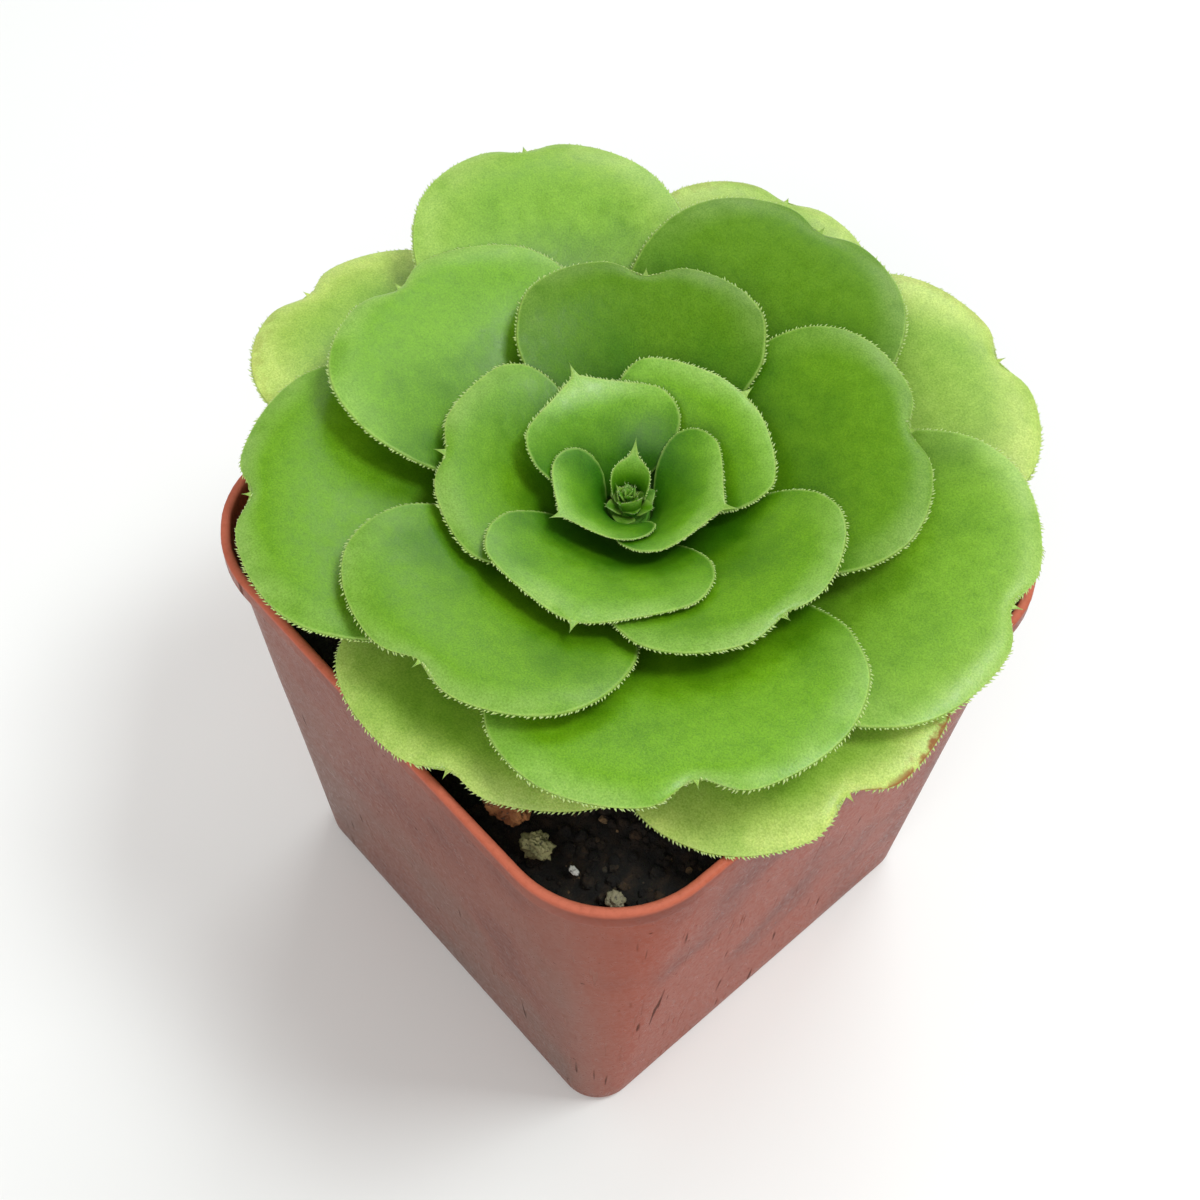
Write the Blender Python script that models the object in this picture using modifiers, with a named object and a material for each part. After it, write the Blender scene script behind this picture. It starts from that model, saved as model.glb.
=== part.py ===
"""A small aeonium rosette growing in a square nursery pot.

Metres, +Z up. The origin is the middle of the pot's underside, where it stands. The pot's sides run
along X and Y. The plant is a short stem with spoon-shaped leaves set round it at the golden angle.
"""

import math
import random

import bmesh
import bpy
from mathutils import Matrix, Vector

# Pot
POT_HEIGHT = 0.070
POT_TOP_WIDTH = 0.070
POT_BOTTOM_WIDTH = 0.0578
POT_TOP_CORNER = 0.0129
POT_BOTTOM_CORNER = 0.0050
POT_WALL = 0.0009
POT_FLOOR = 0.0012
LIP_HEIGHT = 0.0030
LIP_THICKNESS = 0.0015
LIP_ROUND = 0.0005
FOOT_CHAMFER = 0.0010
DRAIN_DIAMETER = 0.0070
DRAIN_SPACING = 0.0300

# Soil
SOIL_DROP = 0.0088
SOIL_ROUGHNESS = 0.0009
CORNER_POINTS = 7
SIDE_POINTS = 3
SOIL_RINGS = 6
ROOT_DEPTH = 0.0300
ROOT_TIP_DIAMETER = 0.0030

# Plant. The crown is where the leaves of the bud begin, and orders count the leaves outwards from it.
CROWN_OVER_SOIL = 0.0108
PLANT_X = -0.0018
PLANT_Y = 0.0016
STEM_DIAMETER = 0.0108
APEX_GROWTH = 11.0
NODE_SPACING = 0.00042
FIRST_LEAF_ANGLE = 115.0
GOLDEN_ANGLE = 137.508

# Leaves. A leaf rises from the stem at an angle over the straight line to its tip, most in the bud,
# and falls below that line at its tip.
LEAF_THICKNESS = 0.0017
LEAF_EDGE_THICKNESS = 0.0006
LEAF_BASE_SHARE = 0.85
BASE_LIFT = 4.0
BUD_LIFT = 32.0
TIP_DROOP = 28.0
NOTCH_DEPTH = 0.0012
NOTCH_WIDTH = 0.0030
MUCRO_LENGTH = 0.0011
LEAF_ROWS = 8
LEAF_COLUMNS = 8
INNER_LEAF_COLUMNS = 6
INNER_LEAVES = 4

# Space left between pieces that touch
CLEARANCE = 0.0003
MM = 0.001

# The leaves from the middle outwards. Each has its turn away from the golden angle in degrees, then in
# millimetres the reach of its tip from the stem's middle, the tip's height over the crown and the
# blade's width, and last the tilt in degrees that lifts its counter-clockwise side over the next leaf.
LEAVES = (
    (14, 3.1, 5.7, 5.9, 0),
    (12, 9.0, 5.8, 15.5, 0),
    (-6, 10.6, 6.2, 19.0, 2),
    (-3, 13.2, 7.6, 19.0, 4),
    (-3, 21.0, 7.8, 25.0, 2),
    (5, 16.5, 7.2, 23.0, 3),
    (2, 21.0, 6.8, 27.0, -4),
    (-2, 25.5, 9.0, 28.0, 3),
    (-1, 27.5, 9.4, 28.5, 1),
    (6, 33.8, 8.3, 34.0, 4),
    (6, 31.5, 8.8, 33.0, 3),
    (-2, 36.5, 8.6, 33.0, 4),
    (2, 40.0, 7.8, 38.5, 5),
    (2, 41.5, 8.4, 33.0, 4),
    (-8, 41.5, 5.0, 39.0, 4),
    (7, 43.4, 6.6, 39.0, 5),
    (-2, 48.5, 8.4, 33.0, 4),
    (-3, 38.6, 0.6, 37.0, 3),
    (2, 47.5, 3.4, 36.0, 5),
    (-17, 48.3, 1.8, 33.0, 4),
    (4, 43.2, 0.9, 37.0, 12),
    (-8, 50.0, 2.0, 31.0, 5),
)

# The folded leaves at the growing point, by the same measures
BUD_LEAVES = (
    (0, 0.9, 1.9, 1.6, 0),
    (0, 1.3, 2.5, 2.0, 0),
    (0, 1.8, 3.4, 2.8, 0),
)

# Stones on the soil, near the pot's +X and -Y walls: the distance of each from those two walls, its
# length, width and height, all in millimetres, and its turn in degrees
STONES = {
    "brown_pebble": (17.9, 3.3, 6.0, 4.2, 3.6, 20),
    "khaki_pebble": (12.7, 2.5, 4.4, 3.2, 2.8, 150),
    "small_stone": (3.4, 4.6, 2.6, 1.9, 1.4, 40),
    "perlite_grain": (8.7, 4.0, 1.3, 0.9, 0.8, 10),
}
STONE_COLOURS = {
    "brown_pebble": (0.30, 0.12, 0.05),
    "khaki_pebble": (0.22, 0.20, 0.12),
    "small_stone": (0.30, 0.26, 0.17),
    "perlite_grain": (0.75, 0.74, 0.70),
}
STONE_GRAIN = 0.12


def clear_scene():
    for item in list(bpy.data.objects):
        bpy.data.objects.remove(item, do_unlink=True)


def new_collection(name):
    group = bpy.data.collections.new(name)
    bpy.context.scene.collection.children.link(group)
    return group


def make_material(name, colour, roughness, metallic=0.0):
    material = bpy.data.materials.new(name)
    material.use_nodes = True
    shader = material.node_tree.nodes["Principled BSDF"]
    shader.inputs["Base Color"].default_value = (*colour, 1.0)
    shader.inputs["Roughness"].default_value = roughness
    shader.inputs["Metallic"].default_value = metallic
    material.diffuse_color = (*colour, 1.0)
    return material


def add_object(name, work, material, group, location=(0.0, 0.0, 0.0)):
    mesh = bpy.data.meshes.new(name)
    work.to_mesh(mesh)
    work.free()
    mesh.materials.append(material)
    mesh.shade_smooth()
    piece = bpy.data.objects.new(name, mesh)
    piece.location = location
    group.objects.link(piece)
    return piece


# Pot and soil: closed bodies of stacked rings


def rounded_square(half, corner, height):
    """Points round a square with round corners, counter-clockwise from the foot of the first corner."""
    points = []
    straight = half - corner
    for quarter in range(4):
        turn = Matrix.Rotation(math.radians(90.0 * quarter), 3, "Z")
        for step in range(CORNER_POINTS):
            angle = math.radians(90.0 * step / (CORNER_POINTS - 1))
            x = straight + corner * math.cos(angle)
            y = straight + corner * math.sin(angle)
            points.append(turn @ Vector((x, y, height)))
        for step in range(1, SIDE_POINTS + 1):
            along = straight * (1.0 - 2.0 * step / (SIDE_POINTS + 1))
            points.append(turn @ Vector((along, half, height)))
    return points


def circle(radius, height, centre=(0.0, 0.0)):
    """Points round a circle, as many as a rounded square has, each opposite the same part of the square."""
    count = 4 * (CORNER_POINTS + SIDE_POINTS)
    points = []
    for step in range(count):
        bearing = 2.0 * math.pi * (step - (CORNER_POINTS - 1) / 2) / count + math.pi / 4
        x = centre[0] + radius * math.cos(bearing)
        y = centre[1] + radius * math.sin(bearing)
        points.append(Vector((x, y, height)))
    return points


def stack_rings(rings):
    """Joins rings of equally many points into one closed body, up the outside and down the inside."""
    work = bmesh.new()
    loops = [[work.verts.new(point) for point in ring] for ring in rings]
    for lower, upper in zip(loops, loops[1:]):
        for here in range(len(lower)):
            after = (here + 1) % len(lower)
            work.faces.new((lower[here], lower[after], upper[after], upper[here]))
    work.faces.new(reversed(loops[0]))
    work.faces.new(loops[-1])
    bmesh.ops.recalc_face_normals(work, faces=work.faces)
    return work


def pot_half_width(height):
    """Half the pot's outer width at a height, under its lip."""
    share = height / POT_HEIGHT
    top = POT_TOP_WIDTH / 2 - LIP_THICKNESS + POT_WALL
    return POT_BOTTOM_WIDTH / 2 + share * (top - POT_BOTTOM_WIDTH / 2)


def pot_corner(height):
    return POT_BOTTOM_CORNER + height / POT_HEIGHT * (POT_TOP_CORNER - POT_BOTTOM_CORNER)


def pot_ring(height, inset):
    """A ring at a height, moved in from the pot's outer face by inset."""
    return rounded_square(pot_half_width(height) - inset, pot_corner(height) - inset, height)


def lip_ring(inset, height):
    return rounded_square(POT_TOP_WIDTH / 2 - inset, POT_TOP_CORNER - inset, height)


def make_pot(group, cutters, material):
    ledge = POT_HEIGHT - LIP_HEIGHT
    rings = [
        rounded_square(POT_BOTTOM_WIDTH / 2 - FOOT_CHAMFER, POT_BOTTOM_CORNER - FOOT_CHAMFER, 0.0),
        pot_ring(FOOT_CHAMFER, 0.0),
        pot_ring(POT_HEIGHT / 2, 0.0),
        pot_ring(ledge, 0.0),
        lip_ring(0.0, ledge + LIP_ROUND / 2),
        lip_ring(0.0, POT_HEIGHT - LIP_ROUND),
        lip_ring(LIP_ROUND, POT_HEIGHT),
        lip_ring(LIP_THICKNESS - LIP_ROUND, POT_HEIGHT),
        lip_ring(LIP_THICKNESS, POT_HEIGHT - LIP_ROUND),
        pot_ring(POT_HEIGHT / 2, POT_WALL),
        pot_ring(POT_FLOOR, POT_WALL),
    ]
    pot = add_object("pot", stack_rings(rings), material, group)
    for side_x in (-1, 1):
        for side_y in (-1, 1):
            work = bmesh.new()
            bmesh.ops.create_cone(
                work,
                cap_ends=True,
                segments=20,
                radius1=DRAIN_DIAMETER / 2,
                radius2=DRAIN_DIAMETER / 2,
                depth=POT_FLOOR * 4,
            )
            place = (side_x * DRAIN_SPACING / 2, side_y * DRAIN_SPACING / 2, POT_FLOOR / 2)
            cutter = add_object("drain_cutter", work, material, cutters, place)
            cutter.hide_render = True
            cutter.display_type = "WIRE"
            cut = pot.modifiers.new("drain", "BOOLEAN")
            cut.operation = "DIFFERENCE"
            cut.object = cutter
    return pot


def soil_height(x, y):
    """The soil's surface: low round the stem, banked up to the walls, with lumps."""
    reach = math.hypot(x - PLANT_X, y - PLANT_Y) / (POT_TOP_WIDTH / 2)
    bank = 0.0026 * min(reach, 1.2) ** 2
    lumps = math.sin(410.0 * x + 1.3) * math.sin(370.0 * y + 0.4)
    crumbs = math.sin(990.0 * x + 730.0 * y) * math.sin(1130.0 * y - 640.0 * x + 2.0)
    return POT_HEIGHT - SOIL_DROP + bank + SOIL_ROUGHNESS * (0.6 * lumps + 0.4 * crumbs)


def blend_rings(outer, inner, share):
    """A ring between two, laid on the soil's surface."""
    ring = []
    for far, near in zip(outer, inner):
        point = far.lerp(near, share)
        point.z = soil_height(point.x, point.y)
        ring.append(point)
    return ring


def make_soil(group, material):
    """Soil fills the pot up to its surface, with a tapered hole for the stem's root."""
    gap = POT_WALL + CLEARANCE
    shoulder = POT_HEIGHT - SOIL_DROP - 2 * SOIL_ROUGHNESS
    edge = pot_ring(shoulder, gap)
    socket = circle(STEM_DIAMETER / 2 + CLEARANCE, shoulder, (PLANT_X, PLANT_Y))
    rings = [pot_ring(POT_FLOOR + CLEARANCE, gap), edge]
    for step in range(SOIL_RINGS + 1):
        rings.append(blend_rings(edge, socket, step / SOIL_RINGS))
    root_end = soil_height(PLANT_X, PLANT_Y) - ROOT_DEPTH - CLEARANCE
    rings.append(circle(ROOT_TIP_DIAMETER / 2 + CLEARANCE, root_end, (PLANT_X, PLANT_Y)))
    return add_object("soil", stack_rings(rings), material, group)


# Stem and leaves


def stem_radius(order):
    """The stem's radius where a leaf of this order grows. It narrows to the growing point."""
    age = order + len(BUD_LEAVES) + 1
    return STEM_DIAMETER / 2 * (1.0 - math.exp(-age / APEX_GROWTH))


def stem_height(order):
    return POT_HEIGHT - SOIL_DROP + CROWN_OVER_SOIL - NODE_SPACING * order


def make_stem(group, material):
    """A turned profile: domed apex, leafy stretch, bare neck and tapered root."""
    oldest = len(LEAVES)
    top = -len(BUD_LEAVES)
    profile = [(0.0, stem_height(top - 1))]
    profile += [(stem_radius(order), stem_height(order)) for order in range(top, oldest, 2)]
    neck = soil_height(PLANT_X, PLANT_Y)
    profile.append((STEM_DIAMETER / 2, min(stem_height(oldest), neck + CLEARANCE)))
    profile.append((STEM_DIAMETER / 2, neck - SOIL_ROUGHNESS))
    profile.append((ROOT_TIP_DIAMETER / 2, neck - ROOT_DEPTH + CLEARANCE))
    profile.append((0.0, neck - ROOT_DEPTH))
    mesh = bpy.data.meshes.new("stem")
    edges = [(here, here + 1) for here in range(len(profile) - 1)]
    mesh.from_pydata([(radius, 0.0, height) for radius, height in profile], edges, [])
    mesh.materials.append(material)
    stem = bpy.data.objects.new("stem", mesh)
    stem.location = (PLANT_X, PLANT_Y, 0.0)
    group.objects.link(stem)
    turn = stem.modifiers.new("turn", "SCREW")
    turn.axis = "Z"
    turn.steps = 24
    turn.render_steps = 24
    turn.use_merge_vertices = True
    turn.merge_threshold = 0.00001
    return stem


class Midrib:
    """The line down the middle of a leaf's upper face: a Bezier curve in the upright plane of the leaf."""

    SAMPLES = 60

    def __init__(self, order, reach, rise):
        start = Vector((stem_radius(order) + CLEARANCE, stem_height(order)))
        end = Vector((reach, stem_height(0) + rise))
        chord = math.atan2(end.y - start.y, end.x - start.x)
        base_angle = chord + math.radians(BASE_LIFT + BUD_LIFT * math.exp(-max(order, 0) / 3.0))
        tip_angle = chord - math.radians(TIP_DROOP)
        span = (end - start).length
        out = start + span / 3 * Vector((math.cos(base_angle), math.sin(base_angle)))
        back = end - span / 4 * Vector((math.cos(tip_angle), math.sin(tip_angle)))
        self.points = []
        for step in range(self.SAMPLES + 1):
            self.points.append(self.bezier(start, out, back, end, step / self.SAMPLES))
        self.lengths = [0.0]
        for before, here in zip(self.points, self.points[1:]):
            self.lengths.append(self.lengths[-1] + (here - before).length)
        self.length = self.lengths[-1]

    @staticmethod
    def bezier(start, out, back, end, share):
        rest = 1.0 - share
        near = start * rest**3 + out * 3.0 * rest**2 * share
        return near + back * 3.0 * rest * share**2 + end * share**3

    def at(self, distance):
        """(radius, height, slope) at a distance along the midrib. Past its tip it runs straight on."""
        step = 1
        while step < self.SAMPLES and self.lengths[step] < distance:
            step += 1
        before, after = self.points[step - 1], self.points[step]
        span = self.lengths[step] - self.lengths[step - 1]
        point = before.lerp(after, (distance - self.lengths[step - 1]) / span)
        if distance > self.length:
            point = after + (after - before).normalized() * (distance - self.length)
        slope = math.atan2(after.y - before.y, after.x - before.x)
        return point.x, point.y, slope


def leaf_half_width(share, order, width, base_width):
    """Half the blade's width at a share of its length: a wedge, then a blunt or pointed end."""
    roundness = min(max(order, 0) / 8.0, 1.0)
    widest = 0.42 + 0.22 * roundness
    if share < widest:
        swell = math.sin(math.pi / 2 * share / widest) ** (0.5 + 0.8 * roundness)
        return (base_width + (width - base_width) * swell) / 2
    past = (share - widest) / (1.0 - widest)
    power = 1.8 + 0.6 * roundness
    bluntness = 0.85 - 0.33 * roundness
    return width / 2 * max(1.0 - past**power, 0.0) ** bluntness


def leaf_surface(order, reach, rise, width, tilt, across):
    """The leaf's upper face as a grid of points. Rows run from base to tip, and columns from side to side."""
    rib = Midrib(order, reach, rise)
    base_width = stem_radius(order) * LEAF_BASE_SHARE
    lobing = min(max(order - 3, 0) / 5.0, 1.0)
    rows = []
    for row in range(LEAF_ROWS + 1):
        share = math.sin(math.pi / 2 * row / LEAF_ROWS)
        half = leaf_half_width(share, order, width, base_width)
        mucro = MUCRO_LENGTH if row == LEAF_ROWS else 0.0
        line = []
        for column in range(across + 1):
            side = half * (2.0 * column / across - 1.0)
            notch = NOTCH_DEPTH * lobing * share**6 * math.exp(-((side / NOTCH_WIDTH) ** 2))
            distance = share * rib.length - notch + mucro
            radius, height, slope = rib.at(distance)
            # A cone with the midrib's slope, rolled out flat: a step sideways stays on the cone.
            lean = max(math.cos(slope), 0.05)
            flat = radius / lean
            wide = math.hypot(flat, side)
            bearing = math.atan2(side, flat) / lean
            radius, height, _ = rib.at(distance + wide - flat)
            height += share * side * math.tan(math.radians(tilt))
            line.append(Vector((radius * math.cos(bearing), radius * math.sin(bearing), height)))
        rows.append(line)
    return rows


def make_leaf(name, order, measures, group, material):
    """A bent grid with flesh below it, thickest along the midrib and thin at the edges and the tip."""
    turn, reach, rise, width, tilt = measures
    across = INNER_LEAF_COLUMNS if order < INNER_LEAVES else LEAF_COLUMNS
    rows = leaf_surface(order, reach * MM, rise * MM, width * MM, tilt, across)
    edge = LEAF_EDGE_THICKNESS / LEAF_THICKNESS
    work = bmesh.new()
    layer = work.verts.layers.deform.new()
    bmesh.ops.create_grid(work, x_segments=across, y_segments=LEAF_ROWS, size=1.0)
    for vertex in work.verts:
        row = round((vertex.co.y + 1.0) / 2.0 * LEAF_ROWS)
        column = round((1.0 - vertex.co.x) / 2.0 * across)
        vertex.co = rows[row][column]
        inward = 1.0 - (2.0 * column / across - 1.0) ** 2
        tipward = 1.0 - (row / LEAF_ROWS) ** 4
        vertex[layer][0] = edge + (1.0 - edge) * inward * tipward
    bmesh.ops.remove_doubles(work, verts=work.verts, dist=0.00002)
    leaf = add_object(name, work, material, group, (PLANT_X, PLANT_Y, 0.0))
    bearing = FIRST_LEAF_ANGLE + GOLDEN_ANGLE * order + turn
    leaf.rotation_euler = (0.0, 0.0, math.radians(bearing))
    leaf.vertex_groups.new(name="flesh")
    flesh = leaf.modifiers.new("flesh", "SOLIDIFY")
    flesh.thickness = LEAF_THICKNESS * min(0.30 + max(order, 0) / 12.0, 1.0)
    flesh.offset = -1.0
    flesh.vertex_group = "flesh"
    return leaf


def make_stone(name, measures, group, material):
    """A worn, slightly uneven stone that lies on the highest soil under it."""
    from_side, from_front, length, width, height, turn = measures
    wall = pot_half_width(POT_HEIGHT - SOIL_DROP) - POT_WALL
    x = wall - from_side * MM
    y = from_front * MM - wall
    work = bmesh.new()
    bmesh.ops.create_icosphere(work, subdivisions=2, radius=0.5)
    dice = random.Random(name)
    for vertex in work.verts:
        vertex.co *= 1.0 + STONE_GRAIN * (dice.random() - 0.5)
    stretch = Matrix.Diagonal((length, width, height)) * MM
    bmesh.ops.transform(work, matrix=stretch.to_4x4(), verts=work.verts)
    bed = 0.0
    for step_x in range(-4, 5):
        for step_y in range(-4, 5):
            reach = length / 2 * MM
            bed = max(bed, soil_height(x + reach * step_x / 4, y + reach * step_y / 4))
    bottom = min(vertex.co.z for vertex in work.verts)
    place = (x, y, bed + CLEARANCE - bottom)
    stone = add_object(name, work, material, group, place)
    stone.rotation_euler = (0.0, 0.0, math.radians(turn))
    return stone


def leaf_colour(order):
    """Saturated green in the middle, fresh green outside and yellow-green on the oldest leaves."""
    young = math.exp(-max(order, 0) / 3.0)
    old = max(order - 16, 0) / (len(LEAVES) - 16)
    return 0.13 - 0.05 * young + 0.15 * old, 0.36 - 0.10 * young + 0.04 * old, 0.03


def main():
    clear_scene()
    parts = new_collection("potted_aeonium")
    cutters = new_collection("cutters")
    make_pot(parts, cutters, make_material("pot_plastic", (0.42, 0.10, 0.06), 0.3))
    make_soil(parts, make_material("soil_mix", (0.02, 0.017, 0.014), 0.95))
    make_stem(parts, make_material("stem_skin", (0.25, 0.20, 0.10), 0.8))
    for name, measures in STONES.items():
        mineral = make_material(name, STONE_COLOURS[name], 0.85)
        make_stone(name, measures, parts, mineral)
    for number, measures in enumerate(BUD_LEAVES):
        name = f"bud_leaf_{number + 1}"
        order = number - len(BUD_LEAVES)
        make_leaf(name, order, measures, parts, make_material(name, leaf_colour(order), 0.45))
    for order, measures in enumerate(LEAVES):
        name = f"leaf_{order + 1:02d}"
        make_leaf(name, order, measures, parts, make_material(name, leaf_colour(order), 0.45))


main()
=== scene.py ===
"""The looks of a small potted aeonium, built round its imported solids.

Metres, +Z up, with the origin in the middle of the pot's underside. Leaves, stem, soil, stones and pot
are made again by the rules that shaped their solids, at a finer grain: toothed leaf margins, crumbly
soil, worn pebbles and a thin moulded pot with its folded lip.
"""

import math
import random
from bisect import bisect_left

import bmesh
import bpy
import numpy as np
from mathutils import Matrix, Vector, noise


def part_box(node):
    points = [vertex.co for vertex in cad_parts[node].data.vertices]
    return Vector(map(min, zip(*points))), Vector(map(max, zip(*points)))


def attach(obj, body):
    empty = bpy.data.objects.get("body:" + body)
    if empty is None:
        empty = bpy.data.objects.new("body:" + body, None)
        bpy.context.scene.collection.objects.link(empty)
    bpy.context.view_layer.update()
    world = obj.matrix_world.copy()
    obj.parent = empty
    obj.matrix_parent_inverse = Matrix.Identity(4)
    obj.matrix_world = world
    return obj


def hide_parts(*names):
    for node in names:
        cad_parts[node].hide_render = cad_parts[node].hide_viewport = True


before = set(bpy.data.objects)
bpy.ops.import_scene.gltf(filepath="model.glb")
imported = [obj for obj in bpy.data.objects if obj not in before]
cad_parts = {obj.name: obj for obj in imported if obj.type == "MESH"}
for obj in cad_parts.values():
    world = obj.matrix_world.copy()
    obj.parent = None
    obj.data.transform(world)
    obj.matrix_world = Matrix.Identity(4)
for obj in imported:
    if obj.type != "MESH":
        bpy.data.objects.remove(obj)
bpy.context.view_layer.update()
MM = 0.001

# Pot, by its solid's box and the sizes that shaped it
POT_LOW, POT_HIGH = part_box("pot")
POT_HEIGHT = POT_HIGH.z
POT_TOP_WIDTH = POT_HIGH.x - POT_LOW.x
POT_BOTTOM_WIDTH = 57.8 * MM
POT_TOP_CORNER = 12.9 * MM
POT_BOTTOM_CORNER = 5.0 * MM
POT_WALL = 0.9 * MM
POT_FLOOR = 1.2 * MM
LIP_HEIGHT = 3.0 * MM
LIP_THICKNESS = 1.5 * MM
LIP_ROLL = 0.52 * MM
WALL_BOW = 0.22 * MM
FOOT_CHAMFER = 1.0 * MM
DRAIN_DIAMETER = 7.0 * MM
DRAIN_SPACING = 30.0 * MM

# Soil
SOIL_DROP = 8.8 * MM
SOIL_ROUGHNESS = 0.9 * MM
SOIL_BANK = 2.6 * MM
SOIL_GAP = 0.3 * MM
SOIL_RINGS = 44
SOCKET_DEPTH = 30.3 * MM
SOCKET_END_RADIUS = 1.8 * MM
GRAIN_COUNT = 5200
SMALLEST_GRAIN = 0.16 * MM
GRAIN_RANGE = 0.62 * MM

# Plant, by its stem's box
STEM_LOW, STEM_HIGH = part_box("stem")
STEM_DIAMETER = STEM_HIGH.x - STEM_LOW.x
PLANT = Vector(((STEM_LOW.x + STEM_HIGH.x) / 2, (STEM_LOW.y + STEM_HIGH.y) / 2, 0.0))
APEX_GROWTH = 11.0
NODE_SPACING = 0.42 * MM
BUD_ORDERS = 3
CROWN_HEIGHT = STEM_HIGH.z - (BUD_ORDERS + 1) * NODE_SPACING
FIRST_LEAF_ANGLE = 115.0
GOLDEN_ANGLE = 137.508
LEAF_THICKNESS = 1.7 * MM
EDGE_SHARE = 0.24
LEAF_BASE_SHARE = 0.85
BASE_LIFT = 4.0
BUD_LIFT = 32.0
TIP_DROOP = 28.0
NOTCH_DEPTH = 2.3 * MM
NOTCH_WIDTH = 3.0 * MM
MUCRO_LENGTH = 1.1 * MM
MUCRO_ROWS = 9
MARGIN_ROLL = 0.50 * MM
MARGIN_RISE = 0.34 * MM
ROLL_REACH = 1.6 * MM
BLADE_FIT = 0.96
TOOTH_SPACING = 0.40 * MM
TOOTH_LENGTH = 0.44 * MM
TOOTH_RADIUS = 0.13 * MM
SCALE_COUNT = 17
HAIR_RADIUS = 0.035 * MM

# The leaves from the middle outwards: turn away from the golden angle in degrees, then in millimetres
# the tip's reach from the stem's middle, its height over the crown and the blade's width, and last the
# tilt in degrees of the counter-clockwise side.
LEAVES = (
    (14, 3.1, 5.7, 5.9, 0),
    (12, 9.0, 5.8, 15.5, 0),
    (-6, 10.6, 6.2, 19.0, 2),
    (-3, 13.2, 7.6, 19.0, 4),
    (-3, 21.0, 7.8, 25.0, 2),
    (5, 16.5, 7.2, 23.0, 3),
    (2, 21.0, 6.8, 27.0, -4),
    (-2, 25.5, 9.0, 28.0, 3),
    (-1, 27.5, 9.4, 28.5, 1),
    (6, 33.8, 8.3, 34.0, 4),
    (6, 31.5, 8.8, 33.0, 3),
    (-2, 36.5, 8.6, 33.0, 4),
    (2, 40.0, 7.8, 38.5, 5),
    (2, 41.5, 8.4, 33.0, 4),
    (-8, 41.5, 5.0, 39.0, 4),
    (7, 43.4, 6.6, 39.0, 5),
    (-2, 48.5, 8.4, 33.0, 4),
    (-3, 38.6, 0.6, 37.0, 3),
    (2, 47.5, 3.4, 36.0, 5),
    (-17, 48.3, 1.8, 33.0, 4),
    (4, 43.2, 0.9, 37.0, 12),
    (-8, 50.0, 2.0, 31.0, 5),
)
BUD_LEAVES = (
    (0, 0.9, 1.9, 1.6, 0),
    (0, 1.3, 2.5, 2.0, 0),
    (0, 1.8, 3.4, 2.8, 0),
)

# By a leaf's order: how far it has faded, and how bright and glossy it is where that isn't full
FADING = {15: 0.15, 16: 0.25, 17: 0.6, 18: 0.8, 19: 0.8, 20: 0.85, 21: 0.6}
LUSHNESS = {6: 0.85, 7: 0.9, 8: 0.62, 9: 0.9, 10: 0.75, 13: 0.66, 14: 0.9}
SCORCH_START = 18
SCORCHED_ORDER = 20
OLD_LEAF_START = 17


# Node trees


def add_node(tree, kind, values=None, **settings):
    """A node with its settings, and its inputs by name or number, each a value or a node's output."""
    node = tree.nodes.new(kind)
    for name, value in settings.items():
        setattr(node, name, value)
    for name, value in (values or {}).items():
        if isinstance(value, bpy.types.NodeSocket):
            tree.links.new(value, node.inputs[name])
        elif isinstance(value, tuple) and node.inputs[name].type == "RGBA":
            node.inputs[name].default_value = (*value, 1.0)
        else:
            node.inputs[name].default_value = value
    return node


def maths(operation, first, second=0.0, clamp=False):
    """A Math node on the tree that its first value comes from."""
    inputs = {0: first, 1: second}
    node = add_node(first.id_data, "ShaderNodeMath", inputs, operation=operation, use_clamp=clamp)
    return node.outputs[0]


def times(first, second):
    return maths("MULTIPLY", first, second)


def plus(first, second):
    return maths("ADD", first, second)


def blend(share, first, second, way="MIX"):
    """Two colours mixed by a share."""
    node = add_node(first.id_data, "ShaderNodeMix", {0: share, 6: first, 7: second}, data_type="RGBA")
    node.blend_type = way
    return node.outputs[2]


def ease(value, low, high, low_out=0.0, high_out=1.0):
    """A smooth step of a value from low to high."""
    inputs = {"Value": value, "From Min": low, "From Max": high, "To Min": low_out, "To Max": high_out}
    node = add_node(value.id_data, "ShaderNodeMapRange", inputs, interpolation_type="SMOOTHSTEP")
    return node.outputs[0]


def ramp(value, stops):
    """A colour ramp from (place, colour) stops."""
    node = add_node(value.id_data, "ShaderNodeValToRGB", {"Fac": value})
    points = node.color_ramp.elements
    while len(points) < len(stops):
        points.new(0.5)
    for point, (place, colour) in zip(points, stops):
        point.position = place
        point.color = (*colour, 1.0)
    return node.outputs["Color"]


def cloud(place, scale, detail=3.0, roughness=0.55):
    inputs = {"Vector": place, "Scale": scale, "Detail": detail, "Roughness": roughness}
    return add_node(place.id_data, "ShaderNodeTexNoise", inputs).outputs["Fac"]


def place_of(tree):
    return add_node(tree, "ShaderNodeTexCoord").outputs["Object"]


def measure(tree, name):
    """A value stored on the piece's points."""
    return add_node(tree, "ShaderNodeAttribute", attribute_name=name).outputs["Fac"]


RESULTS = ("Colour", "Roughness", "Height")


def new_group(name, inputs):
    """An empty node group: its tree, and its inputs and results by name. A colour is three numbers."""
    tree = bpy.data.node_groups.new(name, "ShaderNodeTree")
    for label, default in inputs.items():
        many = isinstance(default, tuple)
        kind = "NodeSocketColor" if many else "NodeSocketFloat"
        socket = tree.interface.new_socket(label, in_out="INPUT", socket_type=kind)
        socket.default_value = (*default, 1.0) if many else default
    for label in RESULTS:
        kind = "NodeSocketColor" if label == "Colour" else "NodeSocketFloat"
        tree.interface.new_socket(label, in_out="OUTPUT", socket_type=kind)
    given = tree.nodes.new("NodeGroupInput").outputs
    leave = tree.nodes.new("NodeGroupOutput").inputs
    return tree, given, leave


def finish_group(tree, leave, *results):
    for label, socket in zip(RESULTS, results):
        tree.links.new(socket, leave[label])
    return tree


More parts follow.
